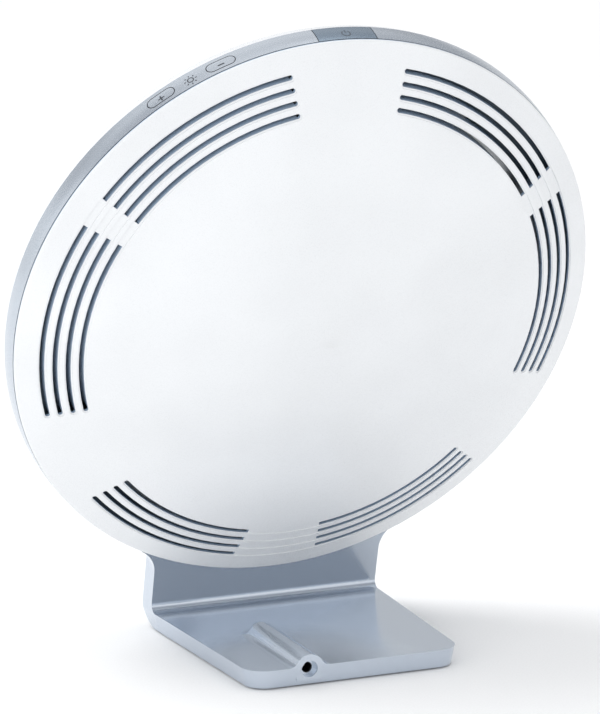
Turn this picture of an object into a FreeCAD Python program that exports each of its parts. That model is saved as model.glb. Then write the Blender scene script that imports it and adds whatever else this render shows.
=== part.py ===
# Round light therapy lamp on a bent stand.
# Millimetres. +Z is up, the lit face looks along -Y, X = 0 is the middle of the stand.
# The origin is on the table, in the middle of the lamp's width and depth.
#
# Head pieces are drawn in the head's own frame and then leaned back:
# there the axis Z points out of the lit face, Y points up the head,
# and Z = 0 is the seam between the rear cover and the silver band.
import FreeCAD, Part
import math
import os
from FreeCAD import Vector

# Head, driving sizes
seam_radius = 170.0
head_lean = 20.6
seam_height = 32.9
dome_rise = 36.5
cover_rim = 1.5
cover_edge_round = 1.3
cover_wall = 2.5
band_depth = 12.8
band_flare = 0.9
band_bulge = 0.5
band_wall = 1.6
seam_gap = 0.5
trim_gap = 0.15
bezel_depth = 14.0
bezel_taper = 6.4
bezel_bulge = 0.9
bezel_wall = 2.4
bezel_edge_round = 1.6
face_width = 16.0
window_bevel = 0.9
diffuser_thickness = 2.5
bezel_lip = 2.2
diffuser_lap = 5.5

# Vents in the rear cover
vent_edge_margin = 13.95
vent_pitch = 6.68
vent_rows = 4
vent_width = 2.6
vent_groove_width = 4.2
vent_groove_depth = 0.5
vent_span_angle = 95.0
vent_angles = [30.0, 150.0, 270.0]
vent_bridge_angles = [6.4, 6.4, 18.4]
louvre_wall = 1.2
louvre_front_gap = 1.6

# Frame inside the rim
frame_wall = 2.5
frame_web = 2.0
frame_web_depth = 2.0
frame_web_width = 32.3
spigot_wall = 2.1
spigot_height = 1.7
boss_radius = 4.0
boss_count = 6
hook_count = 12
hook_width = 12.0
hook_wall = 2.1
hook_reach = 5.3
hook_barb = 1.5

# Light engine
spreader_lap = 7.2
spreader_thickness = 2.0
ear_margin = 7.7
ear_width = 16.0
led_board_gap = 0.8
led_board_thickness = 1.6
led_length = 5.0
led_width = 3.0
led_height = 0.8
led_ring_count = 6
led_ring_step = 21.0
led_count_step = 6
reflector_wall = 1.0
reflector_margin = 1.5
board_length = 90.0
board_width = 62.0
board_thickness = 1.6
board_drop = 34.0
spacer_height = 6.0
spacer_radius = 3.0
capacitor_radius = 4.0
capacitor_height = 12.0
inductor_radius = 6.5
inductor_height = 8.0

# Keys in the silver band
key_depth = 6.2
key_gap = 0.5
key_travel = 0.5
dimmer_angle = 60.0
dimmer_spread_angle = 6.1
dimmer_length = 16.2
dimmer_width = 6.4
power_angle = 90.0
power_length = 33.6
power_end_gap = 0.4
power_side_gap = 0.3
cap_lift = 0.9
dimmer_neck_length = 11.0
dimmer_neck_width = 4.0
power_neck_length = 24.0
power_neck_width = 4.0
neck_gap = 0.3
lug_reach = 1.6
lug_thickness = 1.6
stem_radius = 2.0
stem_length = 2.4
plunger_radius = 1.7
plunger_length = 3.0
plunger_gap = 0.1
switch_size = 4.2
switch_height = 3.5
key_board_length = 18.0
key_board_height = 9.0
key_board_thickness = 1.6
slot_post = 2.6

# Stand
foot_height = 1.0
foot_recess = 1.0
foot_radius = 6.0
plate_thickness = 10.3
plate_draft = 2.0
plate_rear = 76.8
plate_length = 136.7
plate_front_half = 70.0
plate_rear_half = 63.0
plate_corner = 14.0
riser_lean = 14.4
riser_thickness = 14.1
bend_inner = 4.5
bend_outer = 13.0
saddle_fillet = 16.0
saddle_tip = 0.6
saddle_block = 9.0
saddle_gap = 0.1
shell_wall = 2.8
shell_side = 4.2
stand_cover_wall = 2.5
stand_cover_gap = 0.25
ballast_gap = 0.2
ballast_split_gap = 5.0
base_screw_rows = [(0.75, 8.75, 30.8), (0.5, 7.5, 72.8), (0.0, 10.0, 112.8)]
foot_rows = [(0.875, 17.875, 14.8), (0.0, 16.0, 128.8)]

# Power inlet in the stand
jack_x = 28.4
jack_height = 9.7
recess_radius = 4.8
recess_depth = 4.5
recess_floor = 1.2
inlet_radius = 3.1
jack_radius = 4.7
jack_length = 13.0
jack_bore = 2.9
jack_bore_depth = 9.5
pin_radius = 1.0
pin_length = 6.0
rib_radius = 8.4
rib_length = 78.0
rib_wall = 2.2
rib_fillet = 5.5
lead_radius = 1.5
lead_hole_radius = 2.6
lead_side = 8.4

# Screws
screw_gap = 0.05
m3_radius = 1.5
m3_head_radius = 2.8
m3_head = 1.9
m4_radius = 2.0
m4_head_radius = 3.5
m4_head = 2.6
cover_screw_length = 8.0
ear_screw_length = 6.0
board_screw_length = 5.0
stand_screw_depth = 7.8
stand_screw_angles = [-20.0, -8.0, 8.0, 20.0]
stand_screw_bite = 7.5
bracket_wall = 2.5
bracket_half_angle = 24.0
base_screw_length = 8.0

# Places that follow from the sizes above
lean = math.radians(head_lean)
riser_tilt = math.radians(riser_lean)
underside = foot_height
plate_top = underside + plate_thickness
riser_foot = plate_rear - plate_length
seam_foot = riser_foot + (seam_height - plate_top) * math.tan(riser_tilt)
head_centre = Vector(0, seam_foot + seam_radius * math.sin(lean), seam_height + seam_radius * math.cos(lean))
head_place = FreeCAD.Placement(head_centre, FreeCAD.Rotation(Vector(1, 0, 0), 90.0 - head_lean))
dome_sagitta = dome_rise - cover_rim
dome_sphere = (seam_radius ** 2 + dome_sagitta ** 2) / (2.0 * dome_sagitta)
window_radius = seam_radius - face_width
band_front_radius = seam_radius + band_flare
band_mid_radius = seam_radius + band_flare / 2.0 + band_bulge
band_inner = seam_radius - band_wall
wall_outer = band_inner - trim_gap * 2.0
wall_inner = wall_outer - frame_wall
web_front = frame_web_depth + frame_web
frame_opening = wall_inner - frame_web_width
spreader_radius = frame_opening + spreader_lap
ear_radius = frame_opening + ear_margin
led_board_radius = frame_opening - led_board_gap
reflector_mouth = window_radius + reflector_margin
front_face = band_depth + bezel_depth
diffuser_front = front_face - bezel_lip - trim_gap
diffuser_back = diffuser_front - diffuser_thickness
diffuser_radius = window_radius + diffuser_lap
vent_radii = [seam_radius - vent_edge_margin - vent_pitch * row for row in range(vent_rows)]
boss_circle = seam_radius - vent_edge_margin - vent_pitch * (vent_rows - 1) / 2.0
hollow_middle = (underside + stand_cover_wall + plate_top - shell_wall) / 2.0
board_back = frame_web_depth - spreader_thickness - spacer_height - board_thickness
AXIS = Vector(0, 0, 1)
ORIGIN = Vector(0, 0, 0)


def line(start, end):
    return Part.LineSegment(start, end).toShape()


def arc(start, middle, end):
    return Part.Arc(start, middle, end).toShape()


def rounded_wire(corners):
    """A closed wire through (point, radius) corners, each corner rounded by its radius."""
    starts = []
    ends = []
    middles = []
    for index, (corner, radius) in enumerate(corners):
        before = corners[index - 1][0] - corner
        after = corners[(index + 1) % len(corners)][0] - corner
        before.normalize()
        after.normalize()
        half = before.getAngle(after) / 2.0
        reach = radius / math.tan(half)
        inward = before + after
        if inward.Length > 1e-9:
            inward.normalize()
        starts.append(corner + before * reach)
        ends.append(corner + after * reach)
        middles.append(corner + inward * (radius / math.sin(half) - radius))
    edges = []
    for index, (corner, radius) in enumerate(corners):
        if radius > 0:
            edges.append(arc(starts[index], middles[index], ends[index]))
        following = starts[(index + 1) % len(corners)]
        if (following - ends[index]).Length > 1e-6:
            edges.append(line(ends[index], following))
    return Part.Wire(edges)


def prism(corners, direction):
    return Part.Face(rounded_wire(corners)).extrude(direction)


def box(low, high):
    size = high - low
    return Part.makeBox(size.x, size.y, size.z, low)


def rod(radius, start, direction, length):
    return Part.makeCylinder(radius, length, start, direction)


def revolved(edges, angle=360.0):
    return Part.Face(Part.Wire(edges)).revolve(ORIGIN, AXIS, angle)


def ring(inner, outer, low, high):
    disc = rod(outer, Vector(0, 0, low), AXIS, high - low)
    return disc.cut(rod(inner, Vector(0, 0, low - 1), AXIS, high - low + 2))


def turned(shape, degrees):
    copy = shape.copy()
    copy.rotate(ORIGIN, AXIS, degrees)
    return copy


def polar(radius, degrees, height):
    angle = math.radians(degrees)
    return Vector(radius * math.cos(angle), radius * math.sin(angle), height)


def on_head(shape):
    return shape.transformed(head_place.toMatrix(), True)


def screw(shank_radius, length, head_radius, head_height, place, direction):
    """A pan-head screw: place is under the head, and direction points along the shank."""
    socket = rod(shank_radius * 0.55, place - direction * head_height, direction, head_height * 0.55)
    head = rod(head_radius, place - direction * head_height, direction, head_height)
    edge = head.Edges[0]
    for candidate in head.Edges:
        centre = candidate.CenterOfMass - place
        if candidate.Closed and centre.dot(direction) < -head_height / 2.0:
            edge = candidate
    head = head.makeChamfer(head_height * 0.25, [edge])
    return head.cut(socket).fuse(rod(shank_radius, place, direction, length))


def export(name, shapes):
    shape = shapes
    if isinstance(shapes, list):
        shape = Part.makeCompound(shapes)
    shape.exportStep("parts/" + name + ".step")


# Rear cover

def dome_height(radius, offset=0.0):
    """Height of the dome's face, or of one concentric with it, at a radius. Negative is to the rear."""
    return dome_sphere - dome_rise - math.sqrt((dome_sphere - offset) ** 2 - radius ** 2)


def dome_point(radius, offset=0.0):
    return Vector(radius, 0, dome_height(radius, offset))


def dome_shell():
    rim_inner = math.sqrt((dome_sphere - cover_wall) ** 2 - (dome_sphere - dome_rise) ** 2)
    outer_mid = seam_radius / 2.0
    inner_mid = rim_inner / 2.0
    edges = [
        arc(dome_point(0), dome_point(outer_mid), dome_point(seam_radius)),
        line(dome_point(seam_radius), Vector(seam_radius, 0, 0)),
        line(Vector(seam_radius, 0, 0), Vector(rim_inner, 0, 0)),
        arc(Vector(rim_inner, 0, 0), dome_point(inner_mid, cover_wall), dome_point(0, cover_wall)),
        line(dome_point(0, cover_wall), dome_point(0)),
    ]
    shell = revolved(edges)
    corner = [edge for edge in shell.Edges if edge.Closed and abs(edge.CenterOfMass.z + cover_rim) < 0.001]
    return shell.makeFillet(cover_edge_round, corner)


def vent_runs(angle, bridge):
    """Start and end angles of the open slots on each side of a cluster's bridge."""
    half = vent_span_angle / 2.0
    return [(angle - half, angle - bridge / 2.0), (angle + bridge / 2.0, angle + half)]


def arc_prism(radius, start, end, width, round_ends, front_gap=0.5):
    """A curved bar through the dome, as wide as a slot or a groove. round_ends says which ends are round."""
    inner = radius - width / 2.0
    outer = radius + width / 2.0
    low = -dome_rise
    middle = (start + end) / 2.0
    cap = math.degrees(width / 2.0 / radius)
    edges = [arc(polar(outer, start, low), polar(outer, middle, low), polar(outer, end, low))]
    if round_ends[1]:
        edges.append(arc(polar(outer, end, low), polar(radius, end + cap, low), polar(inner, end, low)))
    else:
        edges.append(line(polar(outer, end, low), polar(inner, end, low)))
    edges.append(arc(polar(inner, end, low), polar(inner, middle, low), polar(inner, start, low)))
    if round_ends[0]:
        edges.append(arc(polar(inner, start, low), polar(radius, start - cap, low), polar(outer, start, low)))
    else:
        edges.append(line(polar(inner, start, low), polar(outer, start, low)))
    return Part.Face(Part.Wire(edges)).extrude(Vector(0, 0, dome_rise - front_gap))


def dome_ball(offset):
    """The ball whose skin is the dome's face, smaller by an offset."""
    return Part.makeSphere(dome_sphere - offset, Vector(0, 0, dome_sphere - dome_rise))


def cover_boss(angle):
    place = polar(boss_circle, angle, -dome_rise / 2.0)
    boss = rod(boss_radius, place, AXIS, dome_rise / 2.0 + frame_web_depth)
    return boss.common(dome_ball(cover_wall / 2.0))


def louvre(radius, start, end):
    """The deep wall on a slot's inner side that hides the light board from behind."""
    overlap = vent_width / 10.0
    middle = radius - vent_width / 2.0 - louvre_wall / 2.0 + overlap / 2.0
    wall = arc_prism(middle, start, end, louvre_wall + overlap, (False, False), louvre_front_gap)
    return wall.common(dome_ball(cover_wall / 2.0))


def rear_cover():
    spigot_outer = wall_inner - trim_gap * 2.0
    spigot = ring(spigot_outer - spigot_wall, spigot_outer, -cover_wall / 2.0, spigot_height)
    bosses = [cover_boss(30.0 + 360.0 / boss_count * index) for index in range(boss_count)]
    floor = dome_ball(vent_groove_depth)
    half = vent_span_angle / 2.0
    louvres = []
    cuts = []
    for angle, bridge in zip(vent_angles, vent_bridge_angles):
        first, second = vent_runs(angle, bridge)
        for radius in vent_radii:
            louvres.extend([louvre(radius, *first), louvre(radius, *second)])
            groove = arc_prism(radius, angle - half, angle + half, vent_groove_width, (True, True))
            cuts.append(groove.cut(floor))
            cuts.append(arc_prism(radius, first[0], first[1], vent_width, (True, False)))
            cuts.append(arc_prism(radius, second[0], second[1], vent_width, (False, True)))
    for index in range(boss_count):
        place = polar(boss_circle, 30.0 + 360.0 / boss_count * index, frame_web_depth)
        depth = cover_screw_length - frame_web + screw_gap * 10.0
        cuts.append(rod(m3_radius + screw_gap, place, -AXIS, depth))
    cover = dome_shell().fuse([spigot.common(dome_ball(cover_wall / 2.0))] + bosses + louvres)
    for cut in cuts:
        cover = cover.cut(cut)
    return cover.removeSplitter()


# Rim: silver band, front bezel and the frame behind them

def band_body(offset=0.0, low=seam_gap, high=band_depth):
    """The solid inside the band's barrelled face, pushed out by an offset, between two depths."""
    rear = Vector(seam_radius + offset, 0, 0)
    middle = Vector(band_mid_radius + offset, 0, band_depth / 2.0)
    front = Vector(band_front_radius + offset, 0, band_depth)
    edges = [
        arc(rear, middle, front),
        line(front, Vector(0, 0, band_depth)),
        line(Vector(0, 0, band_depth), ORIGIN),
        line(ORIGIN, rear),
    ]
    body = revolved(edges)
    return body.common(rod(seam_radius * 2.0, Vector(0, 0, low), AXIS, high - low))


def stadium(length, width, start, end):
    """A stadium-shaped prism across the band at angle 0, from one radius to another."""
    half = width / 2.0 - 0.001
    corners = []
    for side, level in ((-1, -1), (1, -1), (1, 1), (-1, 1)):
        place = Vector(start, side * length / 2.0, key_depth + level * width / 2.0)
        corners.append((place, half))
    return prism(corners, Vector(end - start, 0, 0))


def rim_box(length, low, high, start, end):
    return box(Vector(start, -length / 2.0, low), Vector(end, length / 2.0, high))


def silver_band():
    reach = band_mid_radius + 5.0
    band = band_body().cut(rod(band_inner, Vector(0, 0, -1), AXIS, band_depth + 2))
    cuts = []
    for angle in (dimmer_angle - dimmer_spread_angle, dimmer_angle + dimmer_spread_angle):
        hole = stadium(dimmer_length + 2 * key_gap, dimmer_width + 2 * key_gap, band_inner - 5.0, reach)
        cuts.append(turned(hole, angle))
    gate = rim_box(power_length + 2 * power_end_gap, -1, band_depth + 1, band_inner - 5.0, reach)
    cuts.append(turned(gate, power_angle))
    cuts.extend(stand_screw_holes(m4_radius + 0.2))
    cuts.append(lead_hole())
    return band.cut(cuts)


def stand_screw_holes(radius):
    holes = []
    for angle in stand_screw_angles:
        place = polar(wall_inner - bracket_wall - 2.0, 270.0 + angle, stand_screw_depth)
        holes.append(rod(radius, place, polar(1.0, 270.0 + angle, 0), band_mid_radius - wall_inner + 25.0))
    return holes


def lead_hole():
    place = polar(wall_inner - bracket_wall - 2.0, 270.0, stand_screw_depth)
    return rod(lead_hole_radius, place, polar(1.0, 270.0, 0), saddle_block + frame_wall + band_wall + 12.0)


def hook_angles():
    step = 360.0 / hook_count
    angles = [step / 2.0 + step * index for index in range(hook_count)]
    return [angle for angle in angles if abs(angle - 270.0) > bracket_half_angle]


def front_bezel():
    outer = band_front_radius
    front_outer = outer - bezel_taper
    edge_low = front_face - bezel_edge_round
    middle = Vector((outer + front_outer) / 2.0 + bezel_bulge, 0, (band_depth + edge_low) / 2.0)
    half_turn = bezel_edge_round * 0.3
    hook_outer = wall_inner - trim_gap * 2.0
    web = band_depth + bezel_wall
    inner_top = Vector(front_outer - bezel_wall, 0, diffuser_front + trim_gap)
    inner_middle = Vector(middle.x - bezel_wall, 0, (web + inner_top.z) / 2.0)
    inner_low = Vector(outer - bezel_wall * 1.5, 0, web)
    edges = [
        arc(Vector(outer, 0, band_depth), middle, Vector(front_outer, 0, edge_low)),
        arc(
            Vector(front_outer, 0, edge_low),
            Vector(front_outer - half_turn, 0, front_face - half_turn),
            Vector(front_outer - bezel_edge_round, 0, front_face),
        ),
        line(Vector(front_outer - bezel_edge_round, 0, front_face), Vector(window_radius + window_bevel, 0, front_face)),
        line(
            Vector(window_radius + window_bevel, 0, front_face),
            Vector(window_radius, 0, front_face - window_bevel),
        ),
        line(Vector(window_radius, 0, front_face - window_bevel), Vector(window_radius, 0, inner_top.z)),
        line(Vector(window_radius, 0, inner_top.z), inner_top),
        arc(inner_top, inner_middle, inner_low),
        line(inner_low, Vector(hook_outer - hook_wall, 0, web)),
        line(Vector(hook_outer - hook_wall, 0, web), Vector(hook_outer - hook_wall, 0, band_depth)),
        line(Vector(hook_outer - hook_wall, 0, band_depth), Vector(outer, 0, band_depth)),
    ]
    bezel = revolved(edges)
    hook_ring = ring(hook_outer - hook_wall, hook_outer, band_depth - hook_reach, band_depth)
    barb_ring = ring(hook_outer - hook_wall, hook_outer + hook_barb, band_depth - hook_reach, band_depth - hook_reach + 1.5)
    hook_stock = hook_ring.fuse(barb_ring)
    slice_box = rim_box(hook_width, 0, front_face, wall_inner - 10.0, wall_outer + 5.0)
    hooks = [hook_stock.common(turned(slice_box, angle)) for angle in hook_angles()]
    return bezel.fuse(hooks).removeSplitter()


def key_list():
    return {
        "power": (power_angle, power_length, power_neck_length, power_neck_width),
        "plus": (dimmer_angle - dimmer_spread_angle, dimmer_length, dimmer_neck_length, dimmer_neck_width),
        "minus": (dimmer_angle + dimmer_spread_angle, dimmer_length, dimmer_neck_length, dimmer_neck_width),
    }


def lug_top(neck_length):
    half = neck_length / 2.0 + lug_reach
    return math.sqrt(wall_inner ** 2 - half ** 2) - 0.15


def key_shape(name):
    """A key: curved cap, neck through the frame's wall, snap lugs behind it, and the pressing stem."""
    angle, length, neck_length, neck_width = key_list()[name]
    cap_inner = wall_outer + cap_lift
    reach = band_mid_radius + 5.0
    if name == "power":
        low = seam_gap
        high = band_depth - power_side_gap
        cap = rim_box(length, low, high, cap_inner, reach)
    else:
        cap = stadium(length, dimmer_width, cap_inner, reach)
    cap = cap.common(turned(band_body(), -angle))
    lug_outer = lug_top(neck_length)
    lug_inner = lug_outer - lug_thickness
    low = key_depth - neck_width / 2.0
    high = key_depth + neck_width / 2.0
    neck = rim_box(neck_length, low, high, lug_inner, cap_inner + 0.5)
    lugs = rim_box(neck_length + 2 * lug_reach, low, high, lug_inner, lug_outer)
    stem = rod(stem_radius, Vector(lug_inner - stem_length, 0, key_depth), Vector(1, 0, 0), stem_length + 0.5)
    return turned(cap.fuse([neck, lugs, stem]).removeSplitter(), angle)


def stem_end(name):
    return lug_top(key_list()[name][2]) - lug_thickness - stem_length


def switch_plunger(name):
    angle = key_list()[name][0]
    start = stem_end(name) - plunger_length
    return turned(rod(plunger_radius, Vector(start, 0, key_depth), Vector(1, 0, 0), plunger_length), angle)


def switch_body(name):
    angle = key_list()[name][0]
    top = stem_end(name) - plunger_length / 2.0
    low = key_depth - switch_size / 2.0
    body = rim_box(switch_size, low, low + switch_size, top - switch_height, top)
    depth = plunger_length / 2.0 + key_travel + 0.2
    well = rod(plunger_radius + plunger_gap, Vector(top - depth, 0, key_depth), Vector(1, 0, 0), depth + 1)
    return turned(body.cut(well), angle)


def key_board(name):
    angle = key_list()[name][0]
    face = stem_end(name) - plunger_length / 2.0 - switch_height
    board = rim_box(key_board_length, web_front, web_front + key_board_height, face - key_board_thickness, face)
    return turned(board, angle)


def key_board_posts(name):
    """Slotted posts on the frame's web that hold a key board by its ends."""
    angle = key_list()[name][0]
    face = stem_end(name) - plunger_length / 2.0 - switch_height
    centre = face - key_board_thickness / 2.0
    grip = key_board_thickness / 2.0 + 0.1
    posts = []
    for side in (-1, 1):
        middle = side * key_board_length / 2.0
        low = Vector(centre - grip - 1.2, middle - slot_post / 2.0, web_front - 0.5)
        high = Vector(centre + grip + 1.2, middle + slot_post / 2.0, web_front + key_board_height - 1.0)
        posts.append(box(low, high))
    gap = box(
        Vector(centre - grip, -key_board_length / 2.0 - 0.1, web_front),
        Vector(centre + grip, key_board_length / 2.0 + 0.1, web_front + key_board_height),
    )
    return [turned(post.cut(gap), angle) for post in posts]


def rim_frame():
    """The frame behind the band: an upright wall, a flat web, key openings, hook windows and board posts."""
    wall = ring(wall_inner, wall_outer, 0, band_depth)
    web = ring(frame_opening, wall_inner + 0.5, frame_web_depth, web_front)
    posts = []
    cuts = []
    for name in key_list():
        angle, length, neck_length, neck_width = key_list()[name]
        posts.extend(key_board_posts(name))
        low = key_depth - neck_width / 2.0 - neck_gap
        high = key_depth + neck_width / 2.0 + neck_gap
        hole = rim_box(neck_length + 2 * neck_gap, low, high, wall_inner - 2.0, wall_outer + 2.0)
        cuts.append(turned(hole, angle))
    window_low = band_depth - hook_reach - 0.3
    window = rim_box(hook_width + 1.0, window_low, window_low + 2.1, wall_inner - 1.0, wall_outer + 2.0)
    cuts.extend(turned(window, angle) for angle in hook_angles())
    for index in range(boss_count):
        angle = 360.0 / boss_count * index
        cuts.append(rod(m3_radius + 0.2, polar(boss_circle, angle + 30.0, 0), AXIS, web_front + 1))
        cuts.append(rod(m3_radius + 0.2, polar(ear_radius, angle, 0), AXIS, web_front + 1))
    cuts.extend(stand_screw_holes(m4_radius + 0.2))
    cuts.append(lead_hole())
    notch_low = Vector(lead_side - 5.0, -wall_inner + 5.0, 0)
    cuts.append(box(notch_low, notch_low + Vector(9.0, 11.0, web_front + 1)))
    return wall.fuse([web] + posts).cut(cuts).removeSplitter()


def stand_bracket():
    """A curved steel strip inside the frame's wall that spreads the load of the stand screws."""
    outer = wall_inner - 0.1
    strip = ring(outer - bracket_wall, outer, web_front + 0.2, band_depth - 0.6)
    half = bracket_half_angle
    keep = rim_box(2.0 * outer * math.sin(math.radians(half)), 0, front_face, outer * 0.5, outer + 1.0)
    return strip.common(turned(keep, 270.0)).cut(stand_screw_holes(m4_radius + 0.1) + [lead_hole()])


# Light engine

def ear_blocks(low, high, inner):
    reach = ear_radius + 4.0
    block = box(Vector(inner, -ear_width / 2.0, low), Vector(reach, ear_width / 2.0, high))
    return [turned(block, 360.0 / boss_count * index) for index in range(boss_count)]


def ear_holes(low, high, radius):
    count = range(boss_count)
    return [rod(radius, polar(ear_radius, 360.0 / boss_count * index, low), AXIS, high - low) for index in count]


def heat_spreader():
    back = frame_web_depth - spreader_thickness
    disc = rod(spreader_radius, Vector(0, 0, back), AXIS, spreader_thickness)
    spreader = disc.fuse(ear_blocks(back, frame_web_depth, spreader_radius - 10.0))
    cuts = ear_holes(back - 1, frame_web_depth + 1, m3_radius + screw_gap)
    for place in board_corners():
        cuts.append(rod(m3_radius + screw_gap, place + Vector(0, 0, -1), AXIS, 20.0))
    return spreader.cut(cuts).removeSplitter()


def led_board():
    board = rod(led_board_radius, Vector(0, 0, frame_web_depth), AXIS, led_board_thickness)
    holes = [rod(m3_radius + 0.3, Vector(place.x, place.y, 0), AXIS, 20.0) for place in board_corners()]
    return board.cut(holes)


def leds():
    """Rings of small white light-emitting packages, each a solid of its own."""
    top = frame_web_depth + led_board_thickness
    packages = []
    for step in range(led_ring_count):
        count = max(1, led_count_step * step)
        for index in range(count):
            low = Vector(led_ring_step * step - led_length / 2.0, -led_width / 2.0, top)
            high = low + Vector(led_length, led_width, led_height)
            packages.append(turned(box(low, high), 360.0 / count * index + 5.0 * step))
    return packages


def reflector():
    """A white cone from the web to the diffuser, with a foot ring and six screwed ears."""
    foot = frame_opening + 0.7
    thick = reflector_wall
    top = diffuser_back
    points = [
        Vector(foot, 0, web_front),
        Vector(foot, 0, web_front + thick * 0.6),
        Vector(reflector_mouth, 0, top),
        Vector(diffuser_radius, 0, top),
        Vector(diffuser_radius, 0, top - thick),
        Vector(reflector_mouth + thick * 0.6, 0, top - thick),
        Vector(foot + thick * 1.6, 0, web_front + thick),
        Vector(foot + 5.5, 0, web_front + thick),
        Vector(foot + 5.5, 0, web_front),
    ]
    edges = [line(points[index - 1], points[index]) for index in range(len(points))]
    cone = revolved(edges)
    ears = ear_blocks(web_front, web_front + thick, foot + 4.0)
    return cone.fuse(ears).cut(ear_holes(0, web_front + thick + 1, m3_radius + 0.2)).removeSplitter()


def diffuser():
    plate = rod(diffuser_radius, Vector(0, 0, diffuser_back), AXIS, diffuser_thickness)
    rims = [edge for edge in plate.Edges if edge.Closed]
    return plate.makeChamfer(0.5, rims)


def board_corners():
    """Centres of the driver board's four fixing holes, on its rear face."""
    inset = 5.0
    across = board_length / 2.0 - inset
    along = board_width / 2.0 - inset
    signs = [(-1, -1), (1, -1), (1, 1), (-1, 1)]
    return [Vector(sx * across, sy * along - board_drop, board_back) for sx, sy in signs]


def driver_board():
    low = Vector(-board_length / 2.0, -board_drop - board_width / 2.0, board_back)
    board = box(low, low + Vector(board_length, board_width, board_thickness))
    holes = [rod(m3_radius + 0.1, place + Vector(0, 0, -1), AXIS, board_thickness + 2) for place in board_corners()]
    return board.cut(holes)


def board_spacers():
    spacers = []
    for place in board_corners():
        foot = place + Vector(0, 0, board_thickness)
        body = rod(spacer_radius, foot, AXIS, spacer_height)
        spacers.append(body.cut(rod(m3_radius + screw_gap, foot, AXIS, spacer_height)))
    return spacers


def inductor():
    """A drum-core choke: two flanges with the winding between them."""
    place = Vector(-14.0, -board_drop + 6.0, board_back)
    flange = inductor_height * 0.18
    lower = rod(inductor_radius, place, -AXIS, flange)
    winding = rod(inductor_radius * 0.88, place, -AXIS, inductor_height)
    upper = rod(inductor_radius, place - AXIS * (inductor_height - flange), -AXIS, flange)
    return lower.fuse([winding, upper])


def capacitors():
    cans = []
    for index in range(3):
        across = board_length / 2.0 - 37.0 + index * (capacitor_radius * 2.0 + 2.0)
        place = Vector(across, -board_drop + 8.0, board_back)
        can = rod(capacitor_radius, place, -AXIS, capacitor_height)
        rims = [edge for edge in can.Edges if edge.Closed and edge.CenterOfMass.z < board_back - 1.0]
        cans.append(can.makeChamfer(0.5, rims))
    return cans


def power_transistors():
    bodies = []
    for index in range(2):
        low = Vector(9.0 - board_length / 2.0, -board_drop - 8.0 + index * 12.0, board_back - 4.5)
        bodies.append(box(low, low + Vector(10.0, 8.0, 4.5)))
    return bodies


def lead_connector():
    """The socket on the driver board that the supply lead plugs into."""
    low = Vector(-5.0, -board_drop - board_width / 2.0 + 1.0, board_back - 6.0)
    body = box(low, low + Vector(10.0, 8.0, 6.0))
    mouth = low + Vector(1.0, -1.0, 1.2)
    return body.cut(box(mouth, mouth + Vector(8.0, 5.0, 3.6)))


# Stand

def riser_line(height, shift):
    """A point of the riser's rear plane, moved forward by a shift square to it, at a height."""
    along = (height - plate_top - shift * math.sin(riser_tilt)) / math.cos(riser_tilt)
    return Vector(0, riser_foot - shift * math.cos(riser_tilt) + along * math.sin(riser_tilt), height)


def bent_slab(low, front_shift, low_round, high, rear_shift, high_round, half_width):
    """A slab that follows the plate and the riser, drawn from the side and stretched across the stand."""
    top = head_centre.z
    side = Vector(-half_width, 0, 0)
    corners = [
        (side + Vector(0, plate_rear + 1, low), 0),
        (side + riser_line(low, front_shift), low_round),
        (side + riser_line(top, front_shift), 0),
        (side + riser_line(top, rear_shift), 0),
        (side + riser_line(high, rear_shift), high_round),
        (side + Vector(0, plate_rear + 1, high), 0),
    ]
    return prism(corners, Vector(half_width * 2.0, 0, 0))


def plan_outline(inset, height):
    """The stand's outline seen from above, drawn in by an inset, at a height."""
    taper_start = riser_foot + bend_inner + 2.0
    front = plate_front_half - inset
    rear = plate_rear_half - inset
    far = riser_foot - seam_radius / 2.0
    end = plate_rear - inset
    corner = plate_corner - inset
    corners = [
        (Vector(-front, far, height), 0),
        (Vector(front, far, height), 0),
        (Vector(front, taper_start, height), 0),
        (Vector(rear, end, height), corner),
        (Vector(-rear, end, height), corner),
        (Vector(-front, taper_start, height), 0),
    ]
    return rounded_wire(corners)


def plan_prism(inset, low, high):
    return Part.Face(plan_outline(inset, low)).extrude(Vector(0, 0, high - low))


def draft_wedge():
    """What the mould's draft takes off the plate's sides: nothing at its top, most at its underside."""
    sides = Part.makeLoft([plan_outline(plate_draft, underside), plan_outline(0.0, plate_top)], True, True)
    return plan_prism(-plate_draft, underside, plate_top).cut(sides)


def saddle_prism():
    """The riser's outline seen along the head's axis, flaring out to meet the band in round fillets."""
    meet = band_mid_radius + saddle_tip
    centre_x = plate_front_half + saddle_fillet
    reach = meet + saddle_fillet
    centre_y = -math.sqrt(reach ** 2 - centre_x ** 2)
    touch = Vector(centre_x, centre_y, 0) * (meet / reach)
    outward = touch - Vector(centre_x, centre_y, 0)
    outward.normalize()
    mid = Vector(-1, 0, 0) + outward
    mid.normalize()
    mid = Vector(centre_x, centre_y, 0) + mid * saddle_fillet
    inner = touch * (0.9)
    low = -seam_radius - 60.0
    depth = Vector(0, 0, -40.0)

    def mirror(point):
        return Vector(-point.x, point.y, point.z)

    start = Vector(plate_front_half, centre_y, 0)
    edges = [
        line(Vector(plate_front_half, low, 0), start),
        arc(start, mid, touch),
        line(touch, inner),
        line(inner, mirror(inner)),
        line(mirror(inner), mirror(touch)),
        arc(mirror(touch), mirror(mid), mirror(start)),
        line(mirror(start), Vector(-plate_front_half, low, 0)),
        line(Vector(-plate_front_half, low, 0), Vector(plate_front_half, low, 0)),
    ]
    face = Part.Face(Part.Wire(edges))
    face.translate(depth)
    return on_head(face.extrude(Vector(0, 0, 100.0)))


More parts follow.
